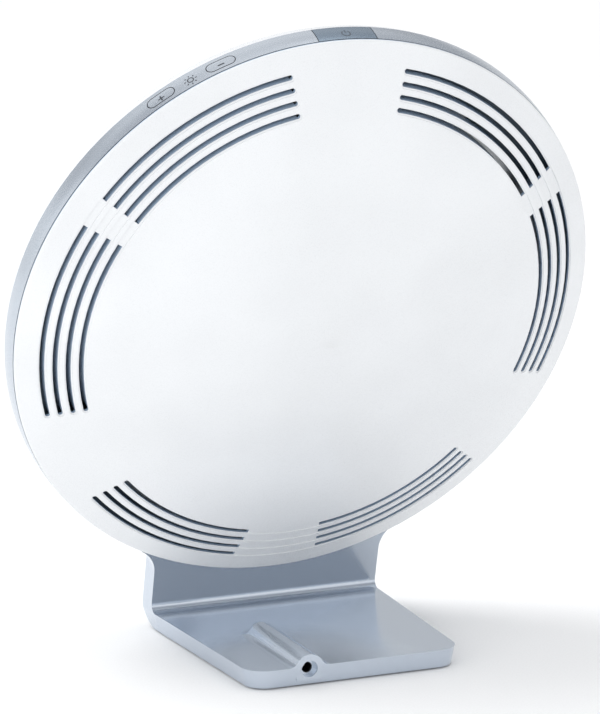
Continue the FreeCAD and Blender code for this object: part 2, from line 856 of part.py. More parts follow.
def rim_clearance_body(gap):
    """What the saddle keeps clear of: the band and the bezel, as one drum on the head's axis."""
    drum = band_body(gap, 0, band_depth)
    front = rod(band_front_radius + gap, Vector(0, 0, band_depth - 0.001), AXIS, 60.0)
    rear = rod(seam_radius + gap, Vector(0, 0, -band_depth), AXIS, band_depth + 0.001)
    return on_head(drum.fuse([front, rear]))


def saddle_room(thickness):
    """The drum that the solid block under the saddle is drawn with."""
    return on_head(rod(band_mid_radius + thickness, Vector(0, 0, -band_depth), AXIS, 60.0))


def jack_rib():
    """The half-round rib over the inlet, with a ball-shaped front end."""
    start = Vector(jack_x, plate_rear, jack_height)
    straight = rib_length - rib_radius
    tube = rod(rib_radius, start, Vector(0, -1, 0), straight)
    ball = Part.makeSphere(rib_radius, start - Vector(0, straight, 0))
    room = box(Vector(jack_x - 20, 0 - plate_rear, plate_top - shell_wall / 2.0), Vector(jack_x + 20, plate_rear, 60))
    return tube.fuse(ball).common(room)


def jack_cavity():
    radius = rib_radius - rib_wall
    start = Vector(jack_x, plate_rear - recess_depth - recess_floor, jack_height)
    straight = rib_length - rib_radius - recess_depth - recess_floor
    tube = rod(radius, start, Vector(0, -1, 0), straight)
    ball = Part.makeSphere(radius, start - Vector(0, straight, 0))
    low = Vector(jack_x - radius, start.y - straight, underside - 1)
    channel = box(low, Vector(jack_x + radius, start.y, jack_height))
    return tube.fuse([ball, channel])


def rib_foot_edges(shape):
    found = []
    for edge in shape.Edges:
        box_ = edge.BoundBox
        flat = abs(box_.ZMin - plate_top) < 0.01 and abs(box_.ZMax - plate_top) < 0.01
        near = box_.XMin > jack_x - rib_radius - 1 and box_.XMax < jack_x + rib_radius + 1
        if flat and near and box_.YMin < plate_rear - 1:
            found.append(edge)
    return found


def stand_outer():
    """The bent plate and riser with its saddle, before it is hollowed."""
    split = plate_top + bend_inner + 2.0
    args = (underside, riser_thickness, bend_outer, plate_top, 0.0, bend_inner)
    wide = bent_slab(*args, half_width=plate_front_half + saddle_fillet * 2.0)
    lower = wide.common(plan_prism(0.0, 0.0, split))
    stock = 2.0 * seam_radius
    above = box(Vector(-stock, -stock, split), Vector(stock, stock, head_centre.z))
    upper = wide.common(above).common(saddle_prism())
    upper = upper.cut(rim_clearance_body(saddle_gap))
    solid = max(upper.Solids, key=lambda piece: -piece.CenterOfMass.z)
    body = lower.fuse(solid).removeSplitter()
    body = body.fuse(jack_rib()).removeSplitter()
    body = body.makeFillet(rib_fillet, rib_foot_edges(body))
    return body.cut(draft_wedge())


def stand_pocket():
    args = (
        underside - 1,
        riser_thickness + 1,
        bend_outer + 1,
        plate_top - shell_wall,
        shell_wall,
        bend_inner + shell_wall,
    )
    pocket = bent_slab(*args, half_width=plate_front_half).common(plan_prism(shell_side, -5.0, head_centre.z))
    pocket = pocket.cut(saddle_room(saddle_block))
    return max(pocket.Solids, key=lambda piece: piece.Volume)


def places_along_sides(rows):
    """Mirrored pairs of places under the plate, from (share of its taper, margin, distance) rows."""
    places = []
    for share, margin, distance in rows:
        across = plate_front_half + (plate_rear_half - plate_front_half) * share - margin
        places.extend([(-across, plate_rear - distance), (across, plate_rear - distance)])
    return places


def stand_shell():
    pocket_top = plate_top - shell_wall
    inner_face = underside + stand_cover_wall
    shell = stand_outer().cut(stand_pocket())
    bosses = []
    for x, y in places_along_sides(base_screw_rows):
        bosses.append(rod(3.5, Vector(x, y, inner_face), AXIS, pocket_top - inner_face + 1.0))
    pad_low = Vector(jack_x - 7.5, plate_rear - recess_depth - recess_floor, inner_face)
    pad = box(pad_low, Vector(jack_x + 7.5, plate_rear - 1.0, pocket_top + 1.0))
    shell = shell.fuse(bosses + [pad])
    cuts = [jack_cavity()]
    start = Vector(jack_x, plate_rear + 1, jack_height)
    cuts.append(rod(recess_radius, start, Vector(0, -1, 0), recess_depth + 1))
    cuts.append(rod(inlet_radius, start, Vector(0, -1, 0), recess_depth + recess_floor + 2))
    for x, y in places_along_sides(base_screw_rows):
        cuts.append(rod(m3_radius + screw_gap, Vector(x, y, inner_face - 1), AXIS, base_screw_length - 2.0))
    cuts.extend(on_head(hole) for hole in stand_screw_holes(m4_radius + screw_gap))
    cuts.append(on_head(lead_hole()))
    return shell.cut(cuts).removeSplitter()


def stand_cover():
    args = (
        underside,
        riser_thickness,
        bend_outer,
        underside + stand_cover_wall,
        riser_thickness - stand_cover_wall,
        bend_outer - stand_cover_wall,
    )
    inset = shell_side + stand_cover_gap
    sheet = bent_slab(*args, half_width=plate_front_half).common(plan_prism(inset, -5.0, head_centre.z))
    sheet = sheet.cut(saddle_room(saddle_block + stand_cover_gap))
    sheet = max(sheet.Solids, key=lambda piece: piece.Volume)
    cuts = []
    pad_low = Vector(jack_x - 7.5 - stand_cover_gap, plate_rear - recess_depth - recess_floor - stand_cover_gap, 0)
    cuts.append(box(pad_low, Vector(jack_x + 7.5 + stand_cover_gap, plate_rear, plate_top)))
    for x, y in places_along_sides(base_screw_rows):
        cuts.append(rod(m3_radius + 0.2, Vector(x, y, 0), AXIS, plate_top))
        cuts.append(rod(m3_head_radius + 0.3, Vector(x, y, 0), AXIS, underside + m3_head * 0.8))
    for x, y in places_along_sides(foot_rows):
        cuts.append(rod(foot_radius + 0.1, Vector(x, y, 0), AXIS, underside + foot_recess))
    return sheet.cut(cuts)


def rubber_feet():
    feet = []
    for x, y in places_along_sides(foot_rows):
        foot = rod(foot_radius, Vector(x, y, 0), AXIS, foot_height + foot_recess)
        rims = [edge for edge in foot.Edges if edge.Closed and edge.CenterOfMass.z < 0.1]
        feet.append(foot.makeChamfer(0.4, rims))
    return feet


def ballast_plates():
    """Two steel plates in the plate's hollow, one each side of the inlet's channel."""
    low = underside + stand_cover_wall + ballast_gap
    high = plate_top - shell_wall - ballast_gap
    channel = rib_radius - rib_wall + ballast_split_gap
    rear = plate_rear - recess_depth - recess_floor - 8.0
    front = riser_foot + bend_inner + shell_wall + 15.6
    side = plate_rear_half - 13.0
    left = box(Vector(-side, front, low), Vector(jack_x - channel, rear, high))
    right = box(Vector(jack_x + channel, front, low), Vector(side, rear, high))
    return [left, right]


def jack_body():
    """The inlet's black body: a round barrel with the plug's bore, and two solder tabs behind."""
    start = Vector(jack_x, plate_rear - recess_depth - recess_floor, jack_height)
    back = Vector(0, -1, 0)
    body = rod(jack_radius, start, back, jack_length)
    return body.cut(rod(jack_bore, start, back, jack_bore_depth))


def jack_pin():
    mouth = plate_rear - recess_depth - recess_floor
    start = Vector(jack_x, mouth - jack_bore_depth, jack_height)
    pin = rod(pin_radius, start, Vector(0, 1, 0), pin_length)
    rims = [edge for edge in pin.Edges if edge.Closed and edge.CenterOfMass.y > start.y + 1]
    return pin.makeChamfer(pin_radius * 0.4, rims)


def jack_tabs():
    back = plate_rear - recess_depth - recess_floor - jack_length
    tabs = []
    for side in (-1, 1):
        low = Vector(jack_x + side * 2.2 - 0.9, back - 4.0, jack_height - 0.25)
        tabs.append(box(low, low + Vector(1.8, 4.0, 0.5)))
    return tabs


# Supply lead, from the inlet through the stand to the driver board

def lead_route():
    """The lead's points: out of the inlet, along the rib, up the riser, round a boss and to the board."""

    def in_head(across, up, depth):
        return head_place.multVec(Vector(across, up, depth))

    return [
        Vector(jack_x, plate_rear - recess_depth - recess_floor - jack_length - 4.0, jack_height),
        Vector(jack_x, 38.0, jack_height - 0.4),
        Vector(jack_x - 0.2, 22.0, jack_height - 2.6),
        Vector(jack_x + 0.2, 4.0, hollow_middle + 0.05),
        Vector(jack_x - 0.2, -16.0, hollow_middle - 0.05),
        Vector(jack_x - 2.4, -33.0, hollow_middle),
        Vector(7.5, -53.5, hollow_middle),
        Vector(2.0, riser_foot - 1.56, hollow_middle),
        Vector(0.6, riser_foot - 6.96, hollow_middle + 6.97),
        in_head(0.0, -seam_radius - 11.0, stand_screw_depth),
        in_head(0.2, 4.6 - wall_inner, stand_screw_depth - 0.2),
        in_head(lead_side - 3.0, 10.0 - wall_inner, stand_screw_depth - 3.0),
        in_head(lead_side, 15.1 - wall_inner, -0.8),
        in_head(lead_side, 25.6 - wall_inner, -3.0),
        in_head(lead_side - 2.5, 39.6 - wall_inner, -4.2),
        in_head(2.0, 59.6 - wall_inner, -6.8),
        in_head(0.0, -board_drop - board_width / 2.0 - 19.0, board_back - 2.4),
        in_head(0.0, -board_drop - board_width / 2.0 + 5.0, board_back - 3.0),
    ]


def lead_path(points):
    """Straight runs joined by tangent arcs, each as large as its two runs allow."""
    edges = []
    last = points[0]
    radii = []
    for index in range(1, len(points) - 1):
        corner = points[index]
        before = points[index - 1] - corner
        after = points[index + 1] - corner
        reach = 0.45 * min(before.Length, after.Length)
        before.normalize()
        after.normalize()
        half = before.getAngle(after) / 2.0
        radius = reach * math.tan(half)
        inward = before + after
        inward.normalize()
        start = corner + before * reach
        end = corner + after * reach
        middle = corner + inward * (radius / math.sin(half) - radius)
        edges.append(line(last, start))
        edges.append(arc(start, middle, end))
        radii.append(radius)
        last = end
    edges.append(line(last, points[-1]))
    return Part.Wire(edges), radii


def supply_lead():
    points = lead_route()
    path, radii = lead_path(points)
    circle = Part.makeCircle(lead_radius, points[0], points[1] - points[0])
    lead = path.makePipeShell([Part.Wire([circle])], True, False)
    expected = math.pi * lead_radius ** 2 * path.Length
    print("lead radii", [round(radius, 1) for radius in radii])
    print("lead length", round(path.Length, 1), "volume ratio", round(lead.Volume / expected, 4))
    return lead


# Fasteners

def cover_screws():
    screws = []
    for index in range(boss_count):
        place = polar(boss_circle, 30.0 + 360.0 / boss_count * index, web_front)
        screws.append(screw(m3_radius, cover_screw_length, m3_head_radius, m3_head, place, -AXIS))
    return screws


def ear_screws():
    screws = []
    for index in range(boss_count):
        place = polar(ear_radius, 360.0 / boss_count * index, web_front + reflector_wall)
        screws.append(screw(m3_radius, ear_screw_length, m3_head_radius, m3_head, place, -AXIS))
    return screws


def board_screws():
    return [screw(m3_radius, board_screw_length, m3_head_radius, m3_head, place, AXIS) for place in board_corners()]


def stand_screws():
    screws = []
    start = wall_inner - bracket_wall - 0.15
    length = band_mid_radius + stand_screw_bite - start
    for angle in stand_screw_angles:
        place = polar(start, 270.0 + angle, stand_screw_depth)
        direction = polar(1.0, 270.0 + angle, 0)
        screws.append(on_head(screw(m4_radius, length, m4_head_radius, m4_head, place, direction)))
    return screws


def base_screws():
    screws = []
    for x, y in places_along_sides(base_screw_rows):
        place = Vector(x, y, underside + m3_head * 0.8)
        length = base_screw_length - 3.0
        screws.append(screw(m3_radius, length, m3_head_radius, m3_head * 0.8, place, AXIS))
    return screws


def head_group(shapes):
    return [on_head(shape) for shape in shapes]


def build():
    os.makedirs("parts", exist_ok=True)
    export("rear_cover", on_head(rear_cover()))
    export("silver_band", on_head(silver_band()))
    export("front_bezel", on_head(front_bezel()))
    export("rim_frame", on_head(rim_frame()))
    export("stand_bracket", on_head(stand_bracket()))
    export("diffuser", on_head(diffuser()))
    export("reflector", on_head(reflector()))
    export("led_board", on_head(led_board()))
    export("leds", head_group(leds()))
    export("heat_spreader", on_head(heat_spreader()))
    export("driver_board", on_head(driver_board()))
    export("board_spacers", head_group(board_spacers()))
    export("inductor", on_head(inductor()))
    export("capacitors", head_group(capacitors()))
    export("power_transistors", head_group(power_transistors()))
    export("lead_connector", on_head(lead_connector()))
    for name in key_list():
        export(name + "_key", on_head(key_shape(name)))
        export(name + "_plunger", on_head(switch_plunger(name)))
        export(name + "_switch", on_head(switch_body(name)))
        export(name + "_key_board", on_head(key_board(name)))
    export("stand_shell", stand_shell())
    export("stand_cover", stand_cover())
    export("rubber_feet", rubber_feet())
    export("ballast_plates", ballast_plates())
    export("jack_body", jack_body())
    export("jack_pin", jack_pin())
    export("jack_tabs", jack_tabs())
    export("supply_lead", supply_lead())
    export("cover_screws", head_group(cover_screws()))
    export("ear_screws", head_group(ear_screws()))
    export("board_screws", head_group(board_screws()))
    export("stand_screws", stand_screws())
    export("base_screws", base_screws())


build()
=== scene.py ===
import math

import bmesh
import bpy
from mathutils import Matrix, Vector


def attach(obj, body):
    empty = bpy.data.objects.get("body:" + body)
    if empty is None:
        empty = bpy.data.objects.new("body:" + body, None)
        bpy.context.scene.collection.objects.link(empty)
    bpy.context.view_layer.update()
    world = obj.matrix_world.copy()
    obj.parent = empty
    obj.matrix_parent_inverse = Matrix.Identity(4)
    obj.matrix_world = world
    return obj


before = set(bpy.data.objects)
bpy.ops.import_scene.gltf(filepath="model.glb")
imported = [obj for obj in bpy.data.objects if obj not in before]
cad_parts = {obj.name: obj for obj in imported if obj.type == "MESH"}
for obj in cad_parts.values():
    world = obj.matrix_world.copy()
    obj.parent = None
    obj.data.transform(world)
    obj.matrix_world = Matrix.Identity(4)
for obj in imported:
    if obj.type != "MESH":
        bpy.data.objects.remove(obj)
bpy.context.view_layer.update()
bpy.ops.object.select_all(action="DESELECT")


# Table and light: a wide flat sheet of white paper inside a bright tent, with one soft box overhead and
# one at the side. The tent is grey half way up, which draws the soft dark bands on the silver paint.
def linear(hex_colour):
    """An sRGB hex value as the linear colour that a shader socket takes."""
    channels = [int(hex_colour[place:place + 2], 16) / 255 for place in (0, 2, 4)]
    return tuple(c / 12.92 if c <= 0.04045 else ((c + 0.055) / 1.055) ** 2.4 for c in channels) + (1.0,)


def material(name):
    """An empty material and its node tree."""
    made = bpy.data.materials.new(name)
    made.use_nodes = True
    made.node_tree.nodes.clear()
    return made, made.node_tree


def add(tree, kind, links=(), inputs=(), **settings):
    """One shader node: its own settings, its input values, and links from other nodes' outputs."""
    node = tree.nodes.new(kind)
    for name, value in settings.items():
        setattr(node, name, value)
    for name, value in dict(inputs).items():
        node.inputs[name].default_value = value
    for name, socket in dict(links).items():
        tree.links.new(socket, node.inputs[name])
    return node


def set_ramp(ramp, stops):
    """Gives a colour ramp its stops, as (position, colour) pairs."""
    elements = ramp.color_ramp.elements
    while len(elements) < len(stops):
        elements.new(0.5)
    for element, (position, colour) in zip(elements, stops):
        element.position = position
        element.color = colour


def studio_light(name, kind, place, aim, watts, mirrored=True, **settings):
    """A light that shines from a place to an aim; one that isn't mirrored draws no highlight."""
    lamp = bpy.data.lights.new(name, kind)
    lamp.energy = watts
    for setting, value in settings.items():
        setattr(lamp, setting, value)
    holder = bpy.data.objects.new(name, lamp)
    bpy.context.scene.collection.objects.link(holder)
    holder.location = place
    holder.rotation_euler = (Vector(aim) - Vector(place)).to_track_quat("-Z", "Y").to_euler()
    holder.visible_glossy = mirrored


paper, tree = material("matt_white_paper")
place = add(tree, "ShaderNodeTexCoord").outputs["Object"]
fibre = add(tree, "ShaderNodeTexNoise", {"Vector": place}, {"Scale": 900.0, "Detail": 2.0})
tone = add(tree, "ShaderNodeValToRGB", {"Fac": fibre.outputs["Fac"]})
set_ramp(tone, [(0.3, linear("F8F8F8")), (0.7, linear("FDFDFD"))])
matt = add(tree, "ShaderNodeBsdfDiffuse", {"Color": tone.outputs["Color"]})
add(tree, "ShaderNodeOutputMaterial", {"Surface": matt.outputs[0]})

paper_width = 16
bpy.ops.mesh.primitive_plane_add(size=paper_width, location=(0, 0, 0))
floor = bpy.context.active_object
floor.name = "paper_floor"
floor.data.materials.append(paper)

# The tent's brightness by the height of a direction, first in front of the lamp and then behind it.
tent_in_front = [
    (0.0, (0.78, 0.79, 0.80, 1)), (0.22, (0.84, 0.85, 0.86, 1)), (0.36, (0.52, 0.53, 0.55, 1)),
    (0.48, (0.50, 0.51, 0.53, 1)), (0.62, (0.74, 0.75, 0.76, 1)), (0.80, (1.02, 1.02, 1.02, 1)),
    (1.0, (1.12, 1.12, 1.12, 1)),
]
tent_behind = [
    (0.0, (1.14, 1.14, 1.14, 1)), (0.34, (1.14, 1.14, 1.14, 1)), (0.52, (0.54, 0.55, 0.57, 1)),
    (0.8, (0.48, 0.49, 0.51, 1)), (1.0, (1.0, 1.0, 1.0, 1)),
]
front_ends = -0.62
rear_starts = -0.38
strength_at_right = 0.82
strength_at_left = 1.14

world = bpy.data.worlds.new("white_tent")
bpy.context.scene.world = world
world.use_nodes = True
tree = world.node_tree
tree.nodes.clear()
way = add(tree, "ShaderNodeSeparateXYZ", {"Vector": add(tree, "ShaderNodeTexCoord").outputs["Generated"]})
front = add(tree, "ShaderNodeValToRGB", {"Fac": way.outputs["Z"]})
set_ramp(front, tent_in_front)
rear = add(tree, "ShaderNodeValToRGB", {"Fac": way.outputs["Z"]})
set_ramp(rear, tent_behind)
side = add(
    tree, "ShaderNodeMapRange", {"Value": way.outputs["Y"]},
    {"From Min": front_ends, "From Max": rear_starts}, interpolation_type="SMOOTHSTEP",
)
tent = add(
    tree, "ShaderNodeMix",
    {"Factor": side.outputs["Result"], "A": front.outputs["Color"], "B": rear.outputs["Color"]},
    data_type="RGBA",
)
across = add(
    tree, "ShaderNodeMapRange", {"Value": way.outputs["X"]},
    {"From Min": -1.0, "From Max": 1.0, "To Min": strength_at_right, "To Max": strength_at_left},
)
room = add(
    tree, "ShaderNodeBackground", {"Color": tent.outputs["Result"], "Strength": across.outputs["Result"]},
)
add(tree, "ShaderNodeOutputWorld", {"Surface": room.outputs["Background"]})

studio_light(
    "overhead_box", "AREA", place=(-0.9, 0.2, 2.4), aim=(0, 0, 0.1), watts=8,
    shape="RECTANGLE", size=1.2, size_y=1.2,
)
studio_light(
    "left_box", "AREA", place=(2.2, 1.4, 0.75), aim=(0, 0, 0.12), watts=12.5, mirrored=False,
    shape="RECTANGLE", size=1.6, size_y=1.8,
)
studio_light(
    "wide_top_light", "SUN", place=(0.8, -0.9, 1.8), aim=(0, 0, 0), watts=1.22, mirrored=False,
    angle=math.radians(40),
)

# Camera: a long lens behind the lamp, to its side and a little above it, as the photograph was taken.
# The azimuth is counted from the lit side, and the small roll is that of the photograph.
view_azimuth = math.radians(157.40)
view_elevation = math.radians(11.78)
view_roll = math.radians(-0.19)
back = Vector((
    math.sin(view_azimuth) * math.cos(view_elevation),
    -math.cos(view_azimuth) * math.cos(view_elevation),
    math.sin(view_elevation),
))
eye = bpy.data.cameras.new("long_lens")
eye.sensor_width = 36.0
eye.lens = 180.8
camera = bpy.data.objects.new("camera", eye)
bpy.context.scene.collection.objects.link(camera)
camera.rotation_mode = "QUATERNION"
camera.location = (0.7541, 1.8076, 0.5748)
roll_turn = Matrix.Rotation(view_roll, 3, "Z").to_quaternion()
camera.rotation_quaternion = (-back).to_track_quat("-Z", "Y") @ roll_turn
bpy.context.scene.camera = camera
bpy.context.scene.view_settings.view_transform = "Standard"

# Rear cover and front bezel: glossy white ABS mouldings, screwed and snapped to the frame between them.
# A very fine spark-eroded grain from the tool softens the gloss; the white leans a touch to blue.
head_seat = (0, 0.005459, 0.192030)
head_tilt = math.radians(69.4)
head_place = Matrix.Translation(head_seat) @ Matrix.Rotation(head_tilt, 4, "X")
head_axis = head_place.to_3x3() @ Vector((0, 0, 1))
dome_radius = 0.430357
dome_rise = 0.0365
dome_centre = head_place @ Vector((0, 0, dome_radius - dome_rise))
white_skin_depth = 0.0006
skin_to_wall = 0.0005
wall_cosine = 0.5
face_cosine = 0.8
per_metre = 1000.0


def wear(finish, *node_names):
    """Puts one finish on CAD nodes, in place of what they came with."""
    for name in node_names:
        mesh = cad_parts[name].data
        mesh.materials.clear()
        mesh.materials.append(finish)


def moulded_plastic(name, low_tone, high_tone, grain_mm, roughness, bump, index=1.53, shade=None):
    """Plastic with its tool's grain. Shade is a function that alters the colour in places."""
    gloss_spread = 0.05
    made, tree = material(name)
    place = add(tree, "ShaderNodeTexCoord").outputs["Object"]
    grain = add(
        tree, "ShaderNodeTexNoise", {"Vector": place}, {"Scale": per_metre / grain_mm, "Detail": 3.0},
    )
    cloud = add(tree, "ShaderNodeTexNoise", {"Vector": place}, {"Scale": 12.0, "Detail": 2.0})
    tone = add(tree, "ShaderNodeValToRGB", {"Fac": cloud.outputs["Fac"]})
    set_ramp(tone, [(0.35, linear(low_tone)), (0.65, linear(high_tone))])
    colour = shade(tree, tone.outputs["Color"]) if shade else tone.outputs["Color"]
    gloss = add(
        tree, "ShaderNodeMapRange", {"Value": grain.outputs["Fac"]},
        {"To Min": roughness - gloss_spread, "To Max": roughness + gloss_spread},
    )
    relief = add(
        tree, "ShaderNodeBump", {"Height": grain.outputs["Fac"]},
        {"Strength": bump, "Distance": 0.1 * grain_mm / per_metre},
    )
    body = add(
        tree, "ShaderNodeBsdfPrincipled",
        {"Base Color": colour, "Roughness": gloss.outputs["Result"], "Normal": relief.outputs["Normal"]},
        {"IOR": index},
    )
    add(tree, "ShaderNodeOutputMaterial", {"Surface": body.outputs[0]})
    return made


def facing_out(tree, centre, axis=None):
    """1 where a face looks away from a centre, or from an axis through it, and 0 on an opening's walls."""
    spot = add(tree, "ShaderNodeTexCoord")
    arm = add(
        tree, "ShaderNodeVectorMath", {0: spot.outputs["Object"]}, {1: centre}, operation="SUBTRACT",
    )
    if axis:
        share = add(
            tree, "ShaderNodeVectorMath", {0: arm.outputs[0]}, {1: axis}, operation="DOT_PRODUCT",
        )
        along = add(
            tree, "ShaderNodeVectorMath", {"Scale": share.outputs["Value"]}, {0: axis}, operation="SCALE",
        )
        arm = add(
            tree, "ShaderNodeVectorMath", {0: arm.outputs[0], 1: along.outputs[0]}, operation="SUBTRACT",
        )
    away = add(tree, "ShaderNodeVectorMath", {0: arm.outputs[0]}, operation="NORMALIZE")
    cosine = add(
        tree, "ShaderNodeVectorMath", {0: away.outputs[0], 1: spot.outputs["Normal"]},
        operation="DOT_PRODUCT",
    )
    outward = add(
        tree, "ShaderNodeMapRange", {"Value": cosine.outputs["Value"]},
        {"From Min": wall_cosine, "From Max": face_cosine}, interpolation_type="SMOOTHSTEP",
    )
    return outward.outputs["Result"]


def painted_vent_shade(tree, tone):
    """Painted shade: below a thin outer layer, the walls of the vents are tinted a dark blue-grey that
    stands in for the shade inside them.
    """
    spot = add(tree, "ShaderNodeTexCoord").outputs["Object"]
    reach = add(tree, "ShaderNodeVectorMath", {0: spot}, {1: dome_centre}, operation="DISTANCE")
    skin_floor = dome_radius - white_skin_depth
    skin = add(
        tree, "ShaderNodeMapRange", {"Value": reach.outputs["Value"]},
        {"From Min": skin_floor - skin_to_wall, "From Max": skin_floor},
    )
    plain = add(
        tree, "ShaderNodeMath", {0: skin.outputs["Result"], 1: facing_out(tree, dome_centre)},
        operation="MAXIMUM",
    )
    # Painted shade: A9BCD0 is the blue-grey put on the vent walls in place of their shade.
    mixed = add(
        tree, "ShaderNodeMix", {"Factor": plain.outputs[0], "B": tone}, {"A": linear("A9BCD0")},
        data_type="RGBA",
    )
    return mixed.outputs["Result"]


# The rear cover's vent walls carry painted shade, a blue-grey tint.
wear(
    moulded_plastic(
        "glossy_white_abs", "E6E8EA", "ECEEF0", grain_mm=0.4, roughness=0.28, bump=0.2, shade=painted_vent_shade,
    ),
    "rear_cover",
)
wear(
    moulded_plastic("glossy_white_bezel_abs", "EAECEE", "F0F2F4", grain_mm=0.4, roughness=0.28, bump=0.2),
    "front_bezel",
)


# Silver band and its keys: ABS sprayed with a fine silver-blue metallic paint; the long power key
# at the top is a shade darker. Flakes lie in a thin satin lacquer and glint only from close by.
def metallic_paint(name, dark_tone, light_tone, flake_mm, roughness, metallic, axis=None):
    """Sprayed paint. Given the axis of a round piece, the walls of its gaps are dark: bare ABS that also
    serves as painted shade.
    """
    gloss_spread = 0.03
    made, tree = material(name)
    place = add(tree, "ShaderNodeTexCoord").outputs["Object"]
    flakes = add(tree, "ShaderNodeTexVoronoi", {"Vector": place}, {"Scale": per_metre / flake_mm})
    glint = add(tree, "ShaderNodeSeparateXYZ", {"Vector": flakes.outputs["Color"]})
    tone = add(tree, "ShaderNodeValToRGB", {"Fac": glint.outputs["X"]})
    set_ramp(tone, [(0.1, linear(dark_tone)), (0.9, linear(light_tone))])
    lean = add(
        tree, "ShaderNodeMapRange", {"Value": glint.outputs["Y"]},
        {"To Min": roughness - gloss_spread, "To Max": roughness + gloss_spread},
    )
    relief = add(
        tree, "ShaderNodeBump", {"Height": glint.outputs["Z"]}, {"Strength": 0.05, "Distance": 0.00001},
    )
    body = add(
        tree, "ShaderNodeBsdfPrincipled",
        {"Base Color": tone.outputs["Color"], "Roughness": lean.outputs["Result"],
         "Normal": relief.outputs["Normal"]},
        {"Metallic": metallic, "Coat Weight": 0.3, "Coat Roughness": 0.1},
    )
    # Partly painted shade: the gap walls around the keys and at the seams are dark bare ABS, which also
    # stands in for the shade in those gaps.
    if axis:
        bare_abs_and_gap_shade = add(
            tree, "ShaderNodeBsdfPrincipled", {}, {"Base Color": linear("30353B"), "Roughness": 0.6},
        )
        body = add(
            tree, "ShaderNodeMixShader",
            {0: facing_out(tree, head_place.translation, axis), 1: bare_abs_and_gap_shade.outputs[0], 2: body.outputs[0]},
        )
    add(tree, "ShaderNodeOutputMaterial", {"Surface": body.outputs[0]})
    return made


wear(
    metallic_paint(
        "satin_silver_band_paint", "C6CED8", "D0D7E0", flake_mm=0.3, roughness=0.25, metallic=0.9,
        axis=head_axis,
    ),
    "silver_band", "plus_key", "minus_key",
)
wear(
    metallic_paint(
        "satin_grey_key_paint", "8796A6", "909FAE", flake_mm=0.3, roughness=0.28, metallic=0.85,
        axis=head_axis,
    ),
    "power_key",
)

# Symbols: pad-printed in grey ink on the band and its keys, so they follow its curved face.
# A ring and bar marks the power key, plus and minus the dimmer keys, and a small sun sits between those.
rim_radius = 0.17095
print_height = 0.002
symbol_depth = 0.0054
ink_depth = 0.00006
ink_above = 0.3
sign_length = 0.0038
plus_stroke = 0.0008
minus_stroke = 0.0009
sun_ring = 0.00195
sun_stroke = 0.0006
sun_rays = 8
ray_length = 0.0011
ray_middle = 0.00325
power_ring = 0.0027
power_stroke = 0.0007
power_gap = 70
power_bar = 0.0026
power_bar_middle = 0.0019
plus_angle = 53.9
sun_angle = 60.0
minus_angle = 66.1
power_angle = 90.1


def printing_ink(name, low_tone, high_tone):
    """Flat ink with the faint dots of its printing pad."""
    made, tree = material(name)
    place = add(tree, "ShaderNodeTexCoord").outputs["Object"]
    dots = add(tree, "ShaderNodeTexNoise", {"Vector": place}, {"Scale": 4000.0, "Detail": 2.0})
    tone = add(tree, "ShaderNodeValToRGB", {"Fac": dots.outputs["Fac"]})
    set_ramp(tone, [(0.35, linear(low_tone)), (0.65, linear(high_tone))])
    body = add(tree, "ShaderNodeBsdfPrincipled", {"Base Color": tone.outputs["Color"]}, {"Roughness": 0.45})
    add(tree, "ShaderNodeOutputMaterial", {"Surface": body.outputs[0]})
    return made


def drop_faces(unwanted):
    """Deletes the faces of the mesh in edit mode whose centres pass a test."""
    bpy.ops.mesh.select_mode(type="FACE")
    bpy.ops.mesh.select_all(action="DESELECT")
    mesh = bmesh.from_edit_mesh(bpy.context.object.data)
    for face in mesh.faces:
        face.select_set(unwanted(face.calc_center_median()))
    bmesh.update_edit_mesh(bpy.context.object.data)
    bpy.ops.mesh.delete(type="FACE")


def flat_bar(length, width, along, turn=0.0):
    """A flat bar whose middle lies at a distance from the centre, in the direction that it points."""
    middle = (along * math.cos(turn), along * math.sin(turn), 0)
    bpy.ops.mesh.primitive_plane_add(size=1, location=middle, rotation=(0, 0, turn))
    bar = bpy.context.object
    bar.scale = (length, width, 1)
    bpy.ops.object.transform_apply(location=True, rotation=True, scale=True)
    bpy.ops.object.mode_set(mode="EDIT")
    bpy.ops.mesh.subdivide(number_cuts=7)
    bpy.ops.object.mode_set(mode="OBJECT")
    return bar


def flat_ring(radius, width, gap=0.0):
    """A flat ring, with a gap of so many degrees on the side of +Y."""
    bpy.ops.mesh.primitive_circle_add(vertices=72, radius=radius, fill_type="NGON")
    bpy.ops.object.mode_set(mode="EDIT")
    bpy.ops.mesh.select_all(action="SELECT")
    bpy.ops.mesh.inset(thickness=width)
    bpy.ops.mesh.delete(type="FACE")
    if gap:
        drop_faces(lambda centre: abs(math.degrees(math.atan2(centre.x, centre.y))) < gap / 2)
    bpy.ops.object.mode_set(mode="OBJECT")
    return bpy.context.object


def print_on_rim(name, strokes, angle, target, body, ink):
    """Joins flat strokes, lays them over the rim at an angle and wraps them on the face below."""
    bpy.ops.object.select_all(action="DESELECT")
    for stroke in strokes:
        stroke.select_set(True)
    symbol = strokes[0]
    bpy.context.view_layer.objects.active = symbol
    if len(strokes) > 1:
        bpy.ops.object.join()
    symbol.name = name
    turn = math.radians(angle)
    out = Vector((math.cos(turn), math.sin(turn), 0))
    along = Vector((-math.sin(turn), math.cos(turn), 0))
    ahead = Vector((0, 0, 1))
    axes = Matrix((along, ahead, out)).transposed().to_4x4()
    lift = Matrix.Translation(out * (rim_radius + print_height) + ahead * symbol_depth)
    symbol.matrix_world = head_place @ lift @ axes
    wrap = symbol.modifiers.new("wrap", "SHRINKWRAP")
    wrap.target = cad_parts[target]
    wrap.wrap_method = "PROJECT"
    wrap.use_project_z = True
    wrap.use_positive_direction = False
    wrap.use_negative_direction = True
    thick = symbol.modifiers.new("thick", "SOLIDIFY")
    thick.thickness = ink_depth
    thick.offset = ink_above
    bpy.ops.object.modifier_apply(modifier="wrap")
    bpy.ops.object.modifier_apply(modifier="thick")
    bpy.ops.object.transform_apply(location=True, rotation=True, scale=True)
    symbol.data.materials.append(ink)
    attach(symbol, body)
    bpy.ops.object.select_all(action="DESELECT")


